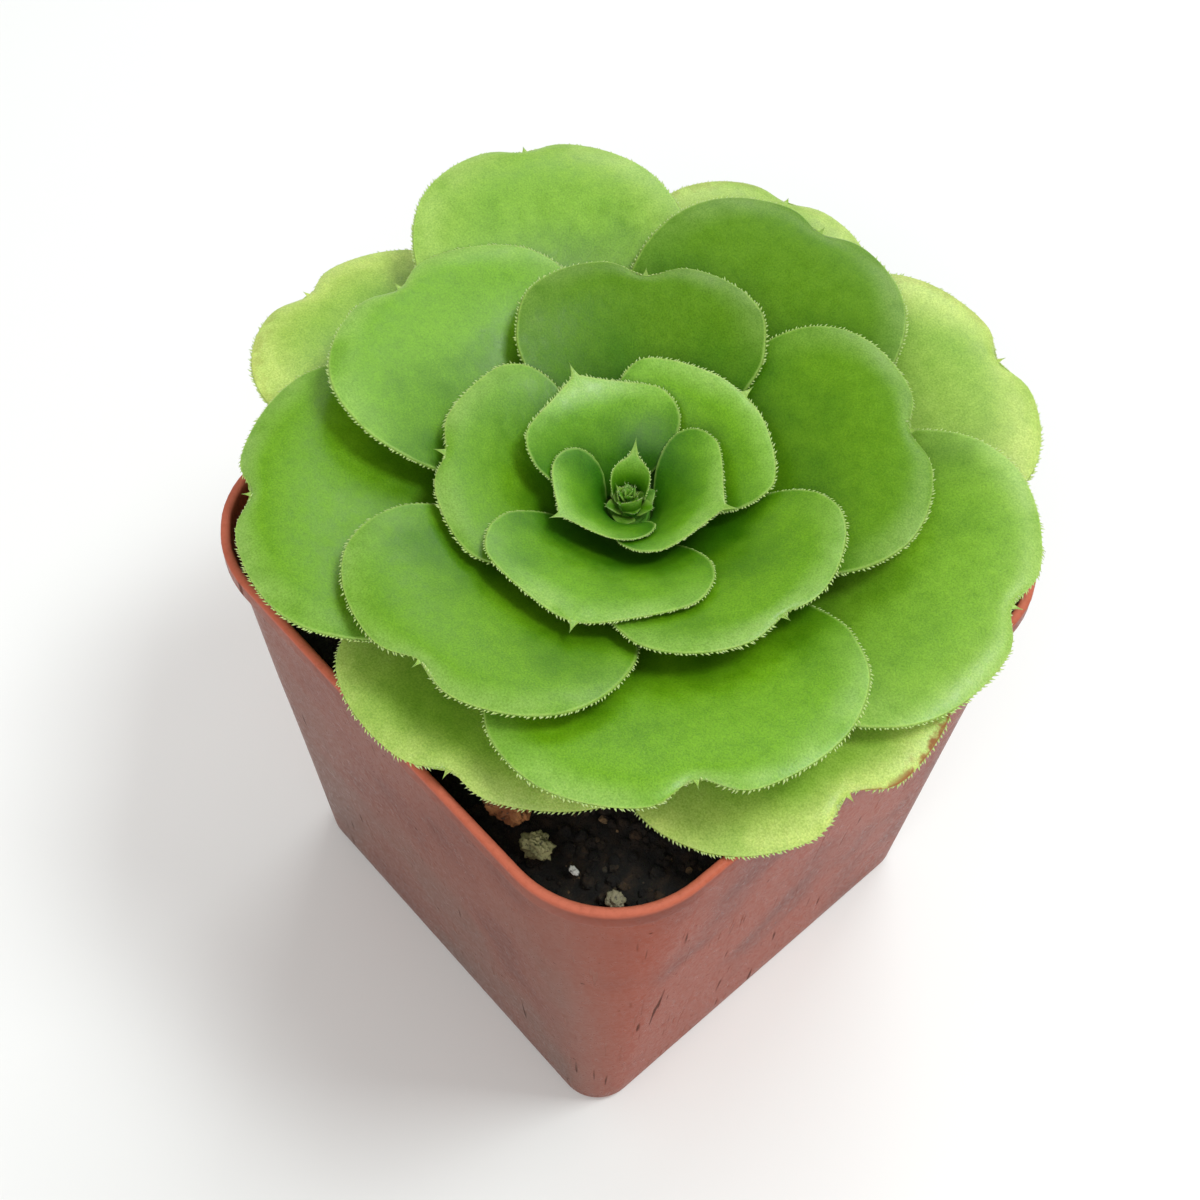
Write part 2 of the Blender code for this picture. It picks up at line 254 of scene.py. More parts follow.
def new_material(name, group, values, shader_values, bump_strength, bump_distance):
    """A Principled material that takes colour, roughness and bump from a group with its own values."""
    material = bpy.data.materials.new(name)
    material.use_nodes = True
    tree = material.node_tree
    shader = tree.nodes["Principled BSDF"]
    effect = add_node(tree, "ShaderNodeGroup", values, node_tree=group).outputs
    tree.links.new(effect["Colour"], shader.inputs["Base Color"])
    tree.links.new(effect["Roughness"], shader.inputs["Roughness"])
    relief = {"Height": effect["Height"], "Strength": bump_strength, "Distance": bump_distance}
    bump = add_node(tree, "ShaderNodeBump", relief)
    tree.links.new(bump.outputs["Normal"], shader.inputs["Normal"])
    for label, value in shader_values.items():
        shader.inputs[label].default_value = value
    return material


def leaf_skin_group():
    """Leaf skin: deep at the base, fresher outwards, finely grained, and pale along the margin."""
    tree, given, leave = new_group(
        "leaf_skin",
        {
            "Deep": (0.035, 0.14, 0.001),
            "Fresh": (0.15, 0.36, 0.005),
            "Bloom_and_highlight": (0.30, 0.50, 0.11),
            "Margin": (0.42, 0.60, 0.14),
            "Tooth": (0.50, 0.68, 0.24),
            "Faded": (0.56, 0.68, 0.17),
            "Burnt": (0.30, 0.12, 0.03),
            "Fading": 0.0,
            "Scorch": 0.0,
        },
    )
    place = place_of(tree)
    rim = measure(tree, "rim_mm")
    along = measure(tree, "along")
    side = measure(tree, "side")
    patches = cloud(place, 130.0, 2.0)
    mottle = cloud(place, 620.0, 3.0)
    grain = cloud(place, 5200.0, 2.0, 0.7)
    reach = plus(along, times(maths("SUBTRACT", patches, 0.5), 0.9))
    colour = blend(ease(reach, 0.12, 0.85), given["Deep"], given["Fresh"])
    # Painted highlight: a pale glaze near the distal margins stands in for the gloss highlights there,
    # and partly for a pale waxy bloom.
    outer = times(ease(rim, 4.5, 0.3), ease(along, 0.45, 0.95))
    bloom_and_highlight = times(outer, ease(patches, 0.30, 0.62, 0.25, 0.75))
    colour = blend(bloom_and_highlight, colour, given["Bloom_and_highlight"])
    fade = times(ease(rim, 9.0, 0.3, 0.35, 1.0), ease(patches, 0.25, 0.6, 0.55, 1.0))
    colour = blend(times(fade, given["Fading"]), colour, given["Faded"])
    dapple = ramp(mottle, ((0.30, (0.80, 0.84, 0.75)), (0.62, (1.08, 1.05, 1.10))))
    colour = blend(0.6, colour, dapple, "MULTIPLY")
    speck = ramp(grain, ((0.30, (0.55, 0.66, 0.40)), (0.68, (1.35, 1.24, 1.50))))
    colour = blend(0.65, colour, speck, "MULTIPLY")
    line = ease(plus(rim, times(mottle, -0.3)), 0.12, -0.20)
    colour = blend(times(line, 0.38), colour, given["Margin"])
    colour = blend(ease(rim, 0.0, -0.3), colour, given["Tooth"])
    ragged = plus(rim, times(maths("SUBTRACT", mottle, 0.5), 7.0))
    burnt = times(ease(ragged, 1.5, 0.2), ease(side, 0.25, 0.75))
    burnt = times(burnt, given["Scorch"])
    colour = blend(burnt, colour, given["Burnt"])
    rough = plus(ease(mottle, 0.3, 0.7, 0.32, 0.44), times(burnt, 0.3))
    height = plus(times(grain, 0.30), times(mottle, 0.70))
    return finish_group(tree, leave, colour, rough, height)


def soil_group():
    """Damp crumbs: near-black peat with a few tan and pale ones, by each crumb's own tone."""
    colours = {"Dark": (0.004, 0.0035, 0.003), "Brown": (0.026, 0.016, 0.009)}
    tree, given, leave = new_group("soil_crumbs", colours)
    place = place_of(tree)
    fine = cloud(place, 3600.0, 4.0, 0.7)
    clumps = cloud(place, 700.0, 3.0)
    colour = blend(ease(clumps, 0.35, 0.75), given["Dark"], given["Brown"])
    kinds = (
        (0.0, (0.6, 0.6, 0.6)),
        (0.72, (1.6, 1.4, 1.2)),
        (0.90, (3.0, 2.6, 2.0)),
        (0.955, (7.0, 6.8, 5.0)),
        (0.985, (14.0, 13.5, 11.0)),
    )
    colour = blend(1.0, colour, ramp(measure(tree, "tone"), kinds), "MULTIPLY")
    shade = ramp(fine, ((0.3, (0.55, 0.55, 0.55)), (0.7, (1.3, 1.3, 1.3))))
    colour = blend(0.8, colour, shade, "MULTIPLY")
    rough = ease(fine, 0.3, 0.7, 0.75, 1.0)
    return finish_group(tree, leave, colour, rough, fine)


def stone_group():
    """A broken, earthy stone with paler veins and darker pits."""
    colours = {"Face": (0.30, 0.2, 0.1), "Vein": (0.5, 0.4, 0.2), "Pit": (0.05, 0.03, 0.02)}
    tree, given, leave = new_group("stone_face", colours)
    place = place_of(tree)
    broad = cloud(place, 420.0, 3.0)
    fine = cloud(place, 2600.0, 5.0, 0.65)
    colour = blend(ease(broad, 0.38, 0.64), given["Face"], given["Vein"])
    colour = blend(ease(fine, 0.47, 0.33), colour, given["Pit"])
    height = plus(times(fine, 0.6), times(broad, 0.4))
    rough = ease(fine, 0.3, 0.7, 0.65, 0.95)
    return finish_group(tree, leave, colour, rough, height)


def bark_group():
    """Stem skin: green-brown, ringed, with corky flecks, and green where it is young."""
    colours = {"Green": (0.10, 0.14, 0.03), "Cork": (0.20, 0.13, 0.06), "Shoot": (0.07, 0.24, 0.006)}
    tree, given, leave = new_group("stem_skin", colours)
    place = place_of(tree)
    values = {"Vector": place, "Scale": 700.0, "Distortion": 4.0, "Detail": 2.0}
    rings = add_node(tree, "ShaderNodeTexWave", values, bands_direction="Z").outputs["Fac"]
    fleck = cloud(place, 1800.0, 4.0, 0.65)
    colour = blend(ease(fleck, 0.35, 0.65), given["Green"], given["Cork"])
    shade = ramp(rings, ((0.2, (0.7, 0.7, 0.7)), (0.8, (1.15, 1.15, 1.15))))
    colour = blend(0.6, colour, shade, "MULTIPLY")
    colour = blend(measure(tree, "young"), colour, given["Shoot"])
    height = plus(times(rings, 0.5), times(fleck, 0.5))
    rough = ease(fleck, 0.3, 0.7, 0.7, 0.9)
    return finish_group(tree, leave, colour, rough, height)


def streaks(place, turn, fineness):
    """Noise drawn out into long thin lines that lean across the walls."""
    values = {"Vector": place, "Rotation": turn, "Scale": fineness}
    leaning = add_node(place.id_data, "ShaderNodeMapping", values).outputs[0]
    values = {"Vector": leaning, "Scale": 1.0, "Detail": 1.0}
    return add_node(place.id_data, "ShaderNodeTexNoise", values).outputs["Fac"]


def pot_plastic_group():
    """Thin moulded plastic: a warm brown, paler on the lip, with scuffs and grime, and a painted
    reflection on the -Y wall.
    """
    tree, given, leave = new_group(
        "pot_plastic",
        {
            "Body": (0.15, 0.020, 0.006),
            "Warm": (0.29, 0.040, 0.008),
            "Lip": (0.55, 0.145, 0.085),
            "Dirt": (0.025, 0.012, 0.008),
            "Scuff": (0.32, 0.22, 0.19),
            "Reflected_sheen": (0.135, 0.080, 0.062),
        },
    )
    place = place_of(tree)
    lip = measure(tree, "lip")
    corner = measure(tree, "corner")
    inside = measure(tree, "inside")
    flow = cloud(place, 55.0, 2.0)
    fine = cloud(place, 1500.0, 4.0, 0.65)
    colour = blend(ease(flow, 0.25, 0.58), given["Body"], given["Warm"])
    # Painted reflection: a pale greyish sheen mixed into the -Y wall's colour.
    sheen_mask = times(measure(tree, "painted_sheen"), ease(flow, 0.30, 0.62, 0.45, 0.9))
    colour = blend(sheen_mask, colour, given["Reflected_sheen"])
    # Scratches and grime show only where a broad patch lets them through.
    lines = streaks(place, (0.35, 0.5, 0.2), (1400.0, 1400.0, 60.0))
    patches = cloud(place, 90.0, 2.0)
    scratch = times(ease(lines, 0.66, 0.72), ease(patches, 0.50, 0.60))
    colour = blend(times(scratch, 0.3), colour, given["Scuff"])
    marks = streaks(place, (-0.6, 0.4, 0.9), (1100.0, 1100.0, 40.0))
    grime = times(ease(marks, 0.67, 0.73), ease(flow, 0.48, 0.60))
    values = {"Vector": place, "Scale": 420.0, "Randomness": 1.0}
    specks = add_node(tree, "ShaderNodeTexVoronoi", values, feature="F1").outputs["Distance"]
    dots = times(ease(specks, 0.13, 0.06), ease(fine, 0.52, 0.60))
    grime = maths("MAXIMUM", grime, dots)
    colour = blend(times(grime, 0.75), colour, given["Dirt"])
    flecked = times(lip, ease(fine, 0.2, 0.6, 0.75, 1.0))
    colour = blend(flecked, colour, given["Lip"])
    colour = blend(times(corner, 0.04), colour, given["Scuff"])
    # The inner wall is darker, in patches.
    inner_darkening = times(inside, ease(fine, 0.42, 0.58, 0.25, 1.0))
    colour = blend(times(inner_darkening, 0.7), colour, given["Dirt"])
    worn = plus(times(scratch, 0.25), times(grime, 0.3))
    rough = plus(ease(fine, 0.3, 0.7, 0.26, 0.42), worn)
    rough = maths("ADD", rough, times(lip, 0.12), clamp=True)
    dents = plus(times(flow, 1.6), times(fine, 0.04))
    height = maths("SUBTRACT", dents, scratch)
    return finish_group(tree, leave, colour, rough, height)


# Pieces


def clamp(value):
    return min(max(value, 0.0), 1.0)


def add_piece(name, points, faces, material, measures=None, smooth=True, turn_out=True):
    """A mesh object from points and faces, with values stored on its points."""
    mesh = bpy.data.meshes.new(name)
    mesh.from_pydata([tuple(point) for point in points], [], faces)
    for label, values in (measures or {}).items():
        layer = mesh.attributes.new(label, "FLOAT", "POINT")
        layer.data.foreach_set("value", np.asarray(values, dtype=np.float32))
    if turn_out:
        work = bmesh.new()
        work.from_mesh(mesh)
        bmesh.ops.recalc_face_normals(work, faces=work.faces)
        work.to_mesh(mesh)
        work.free()
    mesh.materials.append(material)
    if smooth:
        mesh.shade_smooth()
    piece = bpy.data.objects.new(name, mesh)
    bpy.context.scene.collection.objects.link(piece)
    return piece


def settle(piece, slot, *nodes):
    """The piece rides on the root body and stands for its solids, which it hides; its slot is not used.
    """
    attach(piece, "root")
    if nodes:
        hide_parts(*nodes)
    return piece


def rounded_square(half, corner, height, corner_points=17, side_points=15):
    """(point, corner share) round a square with round corners, counter-clockwise."""
    ring = []
    straight = half - corner
    for quarter in range(4):
        turn = Matrix.Rotation(math.radians(90.0 * quarter), 3, "Z")
        for step in range(corner_points):
            angle = math.radians(90.0 * step / (corner_points - 1))
            x, y = straight + corner * math.cos(angle), straight + corner * math.sin(angle)
            ring.append((turn @ Vector((x, y, height)), math.sin(2.0 * angle)))
        for step in range(1, side_points + 1):
            along = straight * (1.0 - 2.0 * step / (side_points + 1))
            ring.append((turn @ Vector((along, half, height)), 0.0))
    return ring


def join_rings(rings):
    """Faces between rings of equally many points, with a cap at each end."""
    count = len(rings[0])
    faces = []
    for level in range(len(rings) - 1):
        for here in range(count):
            after = (here + 1) % count
            low, high = level * count, (level + 1) * count
            faces.append((low + here, low + after, high + after, high + here))
    faces.append(tuple(reversed(range(count))))
    last = (len(rings) - 1) * count
    faces.append(tuple(range(last, last + count)))
    return faces


def pot_half_width(height):
    top = POT_TOP_WIDTH / 2 - LIP_THICKNESS + POT_WALL
    return POT_BOTTOM_WIDTH / 2 + height / POT_HEIGHT * (top - POT_BOTTOM_WIDTH / 2)


def pot_corner(height):
    return POT_BOTTOM_CORNER + height / POT_HEIGHT * (POT_TOP_CORNER - POT_BOTTOM_CORNER)


def pot_profile():
    """(height, inset, on the lip, lip share, inside share) up the outer face, then down the inner one."""
    ledge = POT_HEIGHT - LIP_HEIGHT
    bevel = FOOT_CHAMFER * 0.3
    steps = [(0.0, FOOT_CHAMFER, False, 0.0, 0.0), (bevel, bevel, False, 0.0, 0.0)]
    for step in range(31):
        height = FOOT_CHAMFER + (ledge - 0.2 * MM - FOOT_CHAMFER) * step / 30
        steps.append((height, 0.0, False, 0.0, 0.0))
    steps.append((ledge, 0.05 * MM, False, 0.0, 0.0))
    skirt = ((0.05, 0.35, 0.0), (0.15, 0.05, 0.12), (0.5, 0.0, 0.10), (2.0, 0.03, 0.10))
    for over, inset, lip in skirt:
        steps.append((ledge + over * MM, inset * MM, True, lip, 0.0))
    for step in range(9):
        angle = math.pi * step / 8
        inset = LIP_ROLL - LIP_ROLL * math.cos(angle)
        height = POT_HEIGHT - LIP_ROLL * 0.8 + LIP_ROLL * 0.8 * math.sin(angle)
        steps.append((height, inset, True, 0.70 + 0.30 * math.sin(angle), 0.0))
    steps.append((POT_HEIGHT - 1.0 * MM, LIP_ROLL * 2.1, True, 0.3, 0.4))
    steps.append((ledge, LIP_THICKNESS, True, 0.1, 0.8))
    for step in range(12):
        height = POT_FLOOR + (ledge - 1.0 * MM - POT_FLOOR) * (1.0 - step / 11)
        steps.append((height, POT_WALL, False, 0.0, 1.0))
    return steps


def make_pot(material):
    """The pot's wall, floor and lip in one skin, with its drain holes cut."""
    rings = []
    lips, corners, insides, sheen_shares = [], [], [], []
    for height, inset, on_lip, lip, inside in pot_profile():
        if on_lip:
            half, corner = POT_TOP_WIDTH / 2 - inset, POT_TOP_CORNER - inset
        else:
            half, corner = pot_half_width(height) - inset, pot_corner(height) - inset
        ring = []
        for point, bend in rounded_square(half, corner, height):
            out = Vector((point.x, point.y, 0.0)).normalized()
            share = height / POT_HEIGHT
            # Thin walls bow a little, and the trimmed lip is slightly uneven.
            broad = Vector((point.x * 38.0, point.y * 38.0, height * 22.0))
            close = Vector((point.x * 330.0, point.y * 330.0, 3.0))
            bow = WALL_BOW * noise.noise(broad) * share
            trim = WALL_BOW * noise.noise(close) * (lip > 0.6)
            point = point - out * (abs(bow) + abs(trim) * 0.5)
            point.z -= abs(trim)
            ring.append(point)
            lips.append(lip)
            corners.append(bend * (1.0 - inside))
            insides.append(inside)
            # Painted reflection: the -Y wall is duller and paler than the others, most of all low down.
            facing = clamp((-out.y - abs(out.x) + 0.15) / 0.3)
            sheen_shares.append(facing * (1.0 - inside) * (1.0 - 0.45 * share) * (1.0 - lip))
        rings.append(ring)
    points = [point for ring in rings for point in ring]
    measures = {"lip": lips, "corner": corners, "inside": insides, "painted_sheen": sheen_shares}
    pot = add_piece("nursery_pot", points, join_rings(rings), material, measures)
    cut_drains(pot)
    pot.data.set_sharp_from_angle(angle=math.radians(50))
    return settle(pot, "pot_plastic", "pot")


def cut_drains(pot):
    """Four round holes through the floor, cut into the pot's own mesh."""
    radius = DRAIN_DIAMETER / 2
    cutters = []
    for side_x in (-1, 1):
        for side_y in (-1, 1):
            work = bmesh.new()
            bmesh.ops.create_cone(
                work, cap_ends=True, segments=40, radius1=radius, radius2=radius, depth=POT_FLOOR * 4
            )
            mesh = bpy.data.meshes.new("drain_cutter")
            work.to_mesh(mesh)
            work.free()
            cutter = bpy.data.objects.new("drain_cutter", mesh)
            cutter.location = (side_x * DRAIN_SPACING / 2, side_y * DRAIN_SPACING / 2, POT_FLOOR / 2)
            bpy.context.scene.collection.objects.link(cutter)
            cut = pot.modifiers.new("drain", "BOOLEAN")
            cut.object = cutter
            cutters.append(cutter)
    bpy.context.view_layer.update()
    graph = bpy.context.evaluated_depsgraph_get()
    mesh = bpy.data.meshes.new_from_object(pot.evaluated_get(graph))
    pot.modifiers.clear()
    pot.data = mesh
    for cutter in cutters:
        bpy.data.objects.remove(cutter, do_unlink=True)


def soil_height(x, y):
    """The soil's surface: low round the stem, banked up to the walls, with lumps."""
    reach = math.hypot(x - PLANT.x, y - PLANT.y) / (POT_TOP_WIDTH / 2)
    bank = SOIL_BANK * min(reach, 1.2) ** 2
    lumps = math.sin(410.0 * x + 1.3) * math.sin(370.0 * y + 0.4)
    crumbs = math.sin(990.0 * x + 730.0 * y) * math.sin(1130.0 * y - 640.0 * x + 2.0)
    return POT_HEIGHT - SOIL_DROP + bank + SOIL_ROUGHNESS * (0.6 * lumps + 0.4 * crumbs)


def round_stem(radius, far, height=0.0):
    """The point at a radius from the stem's middle, towards a far point."""
    bearing = math.atan2(far.y - PLANT.y, far.x - PLANT.x)
    return PLANT + Vector((radius * math.cos(bearing), radius * math.sin(bearing), height))


def make_soil(material):
    """The soil's body: its wall against the pot, and a crumbly top with a socket for the stem."""
    gap = POT_WALL + SOIL_GAP
    shoulder = POT_HEIGHT - SOIL_DROP - 2 * SOIL_ROUGHNESS
    rings = []
    for height in (POT_FLOOR + SOIL_GAP, POT_HEIGHT / 3, shoulder):
        outline = rounded_square(pot_half_width(height) - gap, pot_corner(height) - gap, height)
        rings.append([point for point, _ in outline])
    edge = rings[-1]
    for level in range(SOIL_RINGS + 1):
        ring = []
        for far in edge:
            near = round_stem(STEM_DIAMETER / 2 + SOIL_GAP, far)
            point = far.lerp(near, level / SOIL_RINGS)
            spot = Vector((point.x, point.y, 0.0)) * 620.0
            crumb = noise.fractal(spot, 0.9, 2.0, 4) * SOIL_ROUGHNESS / 2
            point.z = soil_height(point.x, point.y) + crumb
            ring.append(point)
        rings.append(ring)
    socket_end = soil_height(PLANT.x, PLANT.y) - SOCKET_DEPTH
    rings.append([round_stem(SOCKET_END_RADIUS, far, socket_end) for far in edge])
    points = [point for ring in rings for point in ring]
    dice = random.Random(3)
    tones = [dice.uniform(0.0, 0.8) for _ in points]
    soil = add_piece("potting_soil", points, join_rings(rings), material, {"tone": tones})
    return settle(soil, "potting_soil", "soil")


def lump_shape(detail):
    """The points and faces of a unit ball of triangles."""
    work = bmesh.new()
    bmesh.ops.create_icosphere(work, subdivisions=detail, radius=1.0)
    points = [vertex.co.copy() for vertex in work.verts]
    faces = [tuple(vertex.index for vertex in face.verts) for face in work.faces]
    work.free()
    return points, faces


def make_grains(material):
    """Loose crumbs and grit all over the soil, each with its own size, turn and tone."""
    coarse = lump_shape(1)
    fine = lump_shape(2)
    dice = random.Random(11)
    points, faces, tones = [], [], []
    half = pot_half_width(POT_HEIGHT - SOIL_DROP) - POT_WALL - 0.6 * MM
    corner = POT_TOP_CORNER - POT_WALL - 1.6 * MM
    for _ in range(GRAIN_COUNT):
        x = dice.uniform(-half, half)
        y = dice.uniform(-half, half)
        over = math.hypot(max(abs(x) - half + corner, 0.0), max(abs(y) - half + corner, 0.0))
        from_stem = math.hypot(x - PLANT.x, y - PLANT.y)
        if over > corner or from_stem < STEM_DIAMETER / 2 + 0.8 * MM:
            continue
        size = SMALLEST_GRAIN + GRAIN_RANGE * dice.random() ** 3
        tone = dice.random()
        shape = fine if size > 0.45 * MM else coarse
        flat = dice.uniform(0.5, 0.9)
        turn = Matrix.Rotation(dice.uniform(0, 6.28), 3, "Z")
        turn = turn @ Matrix.Rotation(dice.uniform(-0.5, 0.5), 3, "X")
        first = len(points)
        seed = Vector((dice.uniform(0, 50), dice.uniform(0, 50), 0.0))
        bed = Vector((x, y, soil_height(x, y) + size * dice.uniform(0.1, 0.5)))
        for corner_point in shape[0]:
            bump = 1.0 + 0.55 * noise.noise(corner_point * 1.7 + seed)
            uneven = corner_point.x * dice.uniform(0.93, 1.07)
            spot = Vector((uneven, corner_point.y, corner_point.z * flat)) * size * bump
            points.append(bed + turn @ spot)
            tones.append(tone)
        faces += [tuple(first + index for index in face) for face in shape[1]]
    grains = add_piece("soil_crumbs", points, faces, material, {"tone": tones}, smooth=False)
    return settle(grains, "potting_soil")


def make_stone(name, node, slot, material, roughness, seed):
    """A worn, chipped stone that fills its solid's box."""
    low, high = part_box(node)
    middle = (low + high) / 2
    size = (high - low) / 2
    shape = lump_shape(5)
    shift = Vector((seed, 2.0 * seed, 0.7 * seed))
    points, facets = [], []
    dice = random.Random(seed)
    for _ in range(9):
        facet = Vector((dice.gauss(0, 1), dice.gauss(0, 1), dice.gauss(0, 1))).normalized()
        facets.append((facet, dice.uniform(0.72, 0.95)))
    for point in shape[0]:
        spot = point.copy()
        for facet, depth in facets:
            over = spot.dot(facet) - depth
            if over > 0:
                spot -= facet * over * 0.85
        bump = 1.0 + roughness * noise.fractal(point * 2.2 + shift, 0.8, 2.1, 5)
        points.append(spot * bump)
    reach = [max(abs(point[axis]) for point in points) for axis in range(3)]
    fit = [size[axis] / reach[axis] for axis in range(3)]
    placed = [middle + Vector([point[axis] * fit[axis] for axis in range(3)]) for point in points]
    stone = add_piece(name, placed, shape[1], material)
    return settle(stone, slot, node)


def stem_radius(order):
    age = order + BUD_ORDERS + 1
    return STEM_DIAMETER / 2 * (1.0 - math.exp(-age / APEX_GROWTH))


def stem_height(order):
    return CROWN_HEIGHT - NODE_SPACING * order


def make_stem(material):
    """A turned stem with the scars of its leaves winding round it, a domed apex and a root peg."""
    oldest = len(LEAVES)
    heights = [(0.02 * MM, stem_height(-BUD_ORDERS - 1))]
    for step in range(41):
        order = -BUD_ORDERS + (oldest + BUD_ORDERS) * step / 40
        heights.append((stem_radius(order), stem_height(order)))
    neck = soil_height(PLANT.x, PLANT.y)
    foot = STEM_DIAMETER / 2
    heights += [(foot, neck - SOIL_ROUGHNESS), (foot * 0.6, neck - 12 * MM)]
    heights += [(1.5 * MM, STEM_LOW.z + 0.3 * MM), (0.05 * MM, STEM_LOW.z)]
    rings = []
    for radius, height in heights:
        ring = []
        for step in range(48):
            bearing = 2.0 * math.pi * step / 48
            wind = math.radians(GOLDEN_ANGLE) * (CROWN_HEIGHT - height) / NODE_SPACING
            scar = 0.18 * MM * max(math.cos(bearing - wind), 0.0) ** 4 * min(radius / foot, 1.0)
            here = radius - scar
            ring.append(PLANT + Vector((here * math.cos(bearing), here * math.sin(bearing), height)))
        rings.append(ring)
    rings.reverse()
    points = [point for ring in rings for point in ring]
    over = [(point.z - CROWN_HEIGHT + 5 * MM) / (4 * MM) for point in points]
    young = [clamp(share) for share in over]
    stem = add_piece("plant_stem", points, join_rings(rings), material, {"young": young})
    return settle(stem, "stem_skin", "stem")


def make_bud_scales(material):
    """The newest scales of the bud, hooded and crowded round the apex, each with a few pale hairs."""
    shape = lump_shape(3)
    dice = random.Random(31)
    points, faces, rims = [], [], []
    for order in range(SCALE_COUNT):
        bearing = math.radians(GOLDEN_ANGLE * order + 40.0)
        reach = (0.15 + 0.125 * order) * MM
        height = STEM_HIGH.z + (0.75 - 0.14 * order) * MM
        out = Vector((math.cos(bearing), math.sin(bearing), 0.0))
        turn = Matrix.Rotation(bearing, 3, "Z")
        turn = turn @ Matrix.Rotation(math.radians(18.0 + 3.0 * order), 3, "Y")
        wide = 0.40 + 0.06 * order
        tall = 0.62 + 0.045 * order
        middle = PLANT + out * reach + Vector((0.0, 0.0, height))
        first = len(points)
        for point in shape[0]:
            cup = 0.30 * point.y**2 - 0.12 * max(point.z, 0.0)
            narrow = 1.0 - 0.55 * max(point.z, 0.0)
            spot = Vector((0.18 * point.x - 0.5 * cup, wide * point.y * narrow, tall * point.z)) * MM
            points.append(middle + turn @ spot)
            rims.append(0.25 * (1.0 - abs(point.y)))
        faces += [tuple(first + index for index in face) for face in shape[1]]
        for _ in range(5):
            side = dice.uniform(-0.8, 0.8)
            crest = Vector((0.0, wide * side * 0.6, tall * math.sqrt(1.0 - side**2))) * MM
            root = middle + turn @ crest
            lean = (turn @ Vector((dice.uniform(-0.4, 0.4), side, 1.0))).normalized()
            across = lean.orthogonal().normalized() * HAIR_RADIUS
            other = lean.cross(across)
            first = len(points)
            points += [root + across, root + other, root - across, root - other]
            points.append(root + lean * dice.uniform(0.2, 0.4) * MM)
            faces += [(first + corner, first + (corner + 1) % 4, first + 4) for corner in range(4)]
            faces.append((first + 3, first + 2, first + 1, first))
            rims += [-0.4] * 5
    measures = {"rim_mm": rims, "along": [0.45] * len(points), "side": [0.0] * len(points)}
    scales = add_piece("bud_scales", points, faces, material, measures)
    return settle(scales, "leaf_skin")


class Midrib:
    """The line down the middle of a leaf's upper face: a Bezier curve in the leaf's upright plane."""

    SAMPLES = 60

    def __init__(self, order, reach, rise):
        start = Vector((stem_radius(order) + 0.3 * MM, stem_height(order)))
        end = Vector((reach, stem_height(0) + rise))
        chord = math.atan2(end.y - start.y, end.x - start.x)
        base_angle = chord + math.radians(BASE_LIFT + BUD_LIFT * math.exp(-max(order, 0) / 3.0))
        tip_angle = chord - math.radians(TIP_DROOP)
        span = (end - start).length
        out = start + span / 3 * Vector((math.cos(base_angle), math.sin(base_angle)))
        back = end - span / 4 * Vector((math.cos(tip_angle), math.sin(tip_angle)))
        self.points = []
        for step in range(self.SAMPLES + 1):
            share = step / self.SAMPLES
            rest = 1.0 - share
            near = start * rest**3 + out * 3.0 * rest**2 * share
            self.points.append(near + back * 3.0 * rest * share**2 + end * share**3)
        self.lengths = [0.0]
        for before, here in zip(self.points, self.points[1:]):
            self.lengths.append(self.lengths[-1] + (here - before).length)
        self.length = self.lengths[-1]

    def at(self, distance):
        """(radius, height, slope) at a distance along the midrib. Past its ends it runs straight on."""
        step = min(max(bisect_left(self.lengths, distance), 1), self.SAMPLES)
        before, after = self.points[step - 1], self.points[step]
        span = self.lengths[step] - self.lengths[step - 1]
        point = before.lerp(after, (distance - self.lengths[step - 1]) / span)
        slope = math.atan2(after.y - before.y, after.x - before.x)
        return point.x, point.y, slope


def leaf_half_width(share, order, width, base_width):
    """Half the blade's width at a share of its length: a wedge, then a blunt or pointed end."""
    roundness = min(max(order, 0) / 8.0, 1.0)
    widest = 0.42 + 0.22 * roundness
    if share < widest:
        swell = math.sin(math.pi / 2 * share / widest) ** (0.5 + 0.8 * roundness)
        return (base_width + (width - base_width) * swell) / 2
    past = (share - widest) / (1.0 - widest)
    power = 1.8 + 0.6 * roundness
    bluntness = 0.85 - 0.33 * roundness
    return width / 2 * max(1.0 - past**power, 0.0) ** bluntness


def leaf_point(rib, share, side, tilt, notch_depth, skew):
    """A point of the upper face, on a cone rolled round the stem, with the notch of a lobed tip."""
    off_notch = (side - skew * (1.0 - share)) / NOTCH_WIDTH
    notch = notch_depth * min(share, 1.0) ** 6 * math.exp(-(off_notch**2))
    distance = share * rib.length - notch
    radius, _, slope = rib.at(distance)
    lean = max(math.cos(slope), 0.05)
    flat = radius / lean
    wide = math.hypot(flat, side)
    bearing = math.atan2(side, flat) / lean
    radius, height, _ = rib.at(distance + wide - flat)
    height += share * side * math.tan(math.radians(tilt))
    return Vector((radius * math.cos(bearing), radius * math.sin(bearing), height))


